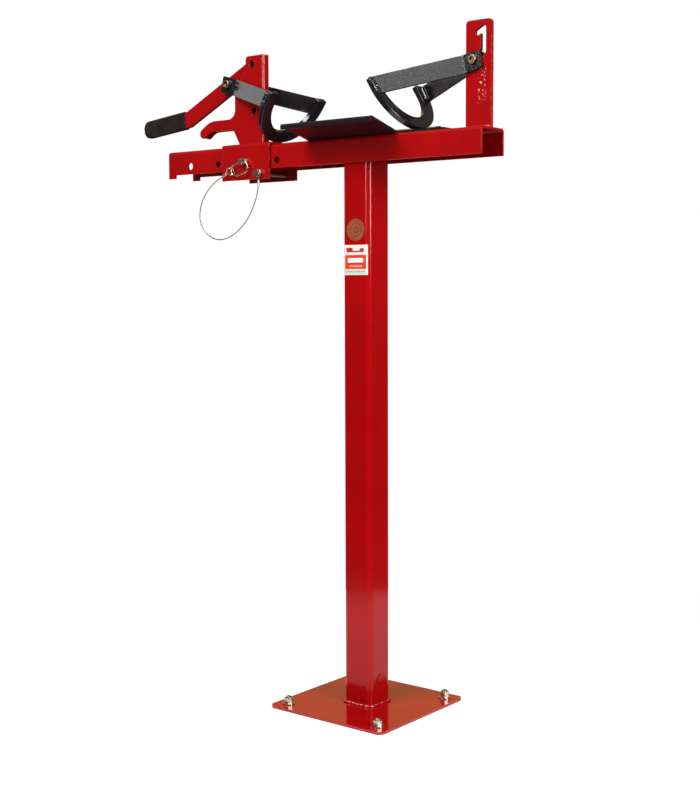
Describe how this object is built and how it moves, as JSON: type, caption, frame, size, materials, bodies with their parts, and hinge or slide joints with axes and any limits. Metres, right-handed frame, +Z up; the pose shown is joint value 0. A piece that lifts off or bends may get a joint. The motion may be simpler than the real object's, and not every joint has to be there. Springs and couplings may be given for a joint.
{
  "type": "bead breaker",
  "caption": "Post-mounted tyre bead breaker: a hand lever presses a swinging jaw shoe towards a second shoe over a tray, with a pin-indexed carriage on the beam.",
  "frame": {"origin": "centre of the post on the floor, at the base plate's underside", "axes": "+X along the beam towards the upright, +Z up the post, +Y to the back"},
  "size_m": [1.029, 0.3174, 1.4957],
  "materials": {
    "red_powder_coat": "glossy red powder coat",
    "black_powder_coat": "glossy black powder coat",
    "zinc_plate": "bright zinc plate",
    "grip_rubber": "satin moulded rubber",
    "badge_metal": "satin",
    "label_film": "printed film",
    "wire_rope": "bare wire rope"
  },
  "bodies": {
    "stand": {"base_plate": "red_powder_coat", "post_tube": "red_powder_coat", "post_weld": "red_powder_coat", "anchor_studs": "zinc_plate", "anchor_washers": "zinc_plate", "anchor_nuts": "zinc_plate", "post_plug": "red_powder_coat", "badge": "badge_metal", "label_plate": "label_film", "beam_channel": "red_powder_coat", "tray": "black_powder_coat", "upright_plate": "red_powder_coat", "upright_weld": "red_powder_coat", "carriage_sleeve": "red_powder_coat", "retaining_bolt": "zinc_plate", "retaining_washers": "zinc_plate", "retaining_nut": "zinc_plate", "tower": "red_powder_coat", "tower_weld": "red_powder_coat", "lever_pivot_pin": "zinc_plate", "pivot_washers": "zinc_plate", "lanyard_cable": "wire_rope", "lanyard_eyes": "wire_rope", "lanyard_ferrules": "zinc_plate"},
    "lever": {"lever_bar": "red_powder_coat", "lever_grip": "grip_rubber"},
    "left_pin": {"left_jaw_bolt": "zinc_plate", "left_jaw_washer": "zinc_plate", "left_jaw_nut": "zinc_plate", "left_jaw_sleeves": "zinc_plate"},
    "left_jaw": {"left_front_strap": "black_powder_coat", "left_rear_strap": "black_powder_coat", "left_shoe": "black_powder_coat", "left_jaw_welds": "black_powder_coat"},
    "right_pin": {"right_jaw_bolt": "zinc_plate", "right_jaw_washer": "zinc_plate", "right_jaw_nut": "zinc_plate"},
    "right_jaw": {"right_front_strap": "black_powder_coat", "right_rear_strap": "black_powder_coat", "right_shoe": "black_powder_coat", "right_jaw_welds": "black_powder_coat"},
    "lock_pin": {"lock_pin": "zinc_plate"},
    "pull_ring": {"pull_ring": "zinc_plate"}
  },
  "joints": [
    {"name": "lever_pivot", "type": "hinge", "parent": "stand", "child": "lever", "pos_m": [-0.3275, 0, 1.46785], "axis": [0, 1, 0], "range_deg": [-9, 9.5]},
    {"name": "left_jaw_pin_turn", "type": "hinge", "parent": "lever", "child": "left_pin", "pos_m": [-0.4, 0, 1.42705], "axis": [0, 1, 0], "range_deg": [-5, 4.75]},
    {"name": "left_jaw_lift", "type": "hinge", "parent": "left_pin", "child": "left_jaw", "pos_m": [-0.4, 0, 1.42705], "axis": [0, -1, 0], "range_deg": [0, 150]},
    {"name": "right_pin_slide", "type": "slide", "parent": "stand", "child": "right_pin", "axis": [0.7839, 0, 0.6209], "range_m": [0, 0.0255]},
    {"name": "right_jaw_swing", "type": "hinge", "parent": "right_pin", "child": "right_jaw", "pos_m": [0.2875, 0, 1.41535], "axis": [0, 1, 0], "range_deg": [0, 150]},
    {"name": "lock_pin_pull", "type": "slide", "parent": "stand", "child": "lock_pin", "axis": [0, -1, 0], "range_m": [0, 0.12], "deforming": ["lanyard_cable", "lanyard_eyes"]},
    {"name": "pull_ring_swing", "type": "hinge", "parent": "lock_pin", "child": "pull_ring", "pos_m": [-0.317, -0.059, 1.23885], "axis": [-0.9781, 0, -0.2079], "range_deg": [-8, 85]}
  ],
  "couplings": [
    {"joint": "left_jaw_pin_turn", "follows": "lever_pivot", "ratio": -0.5}
  ]
}
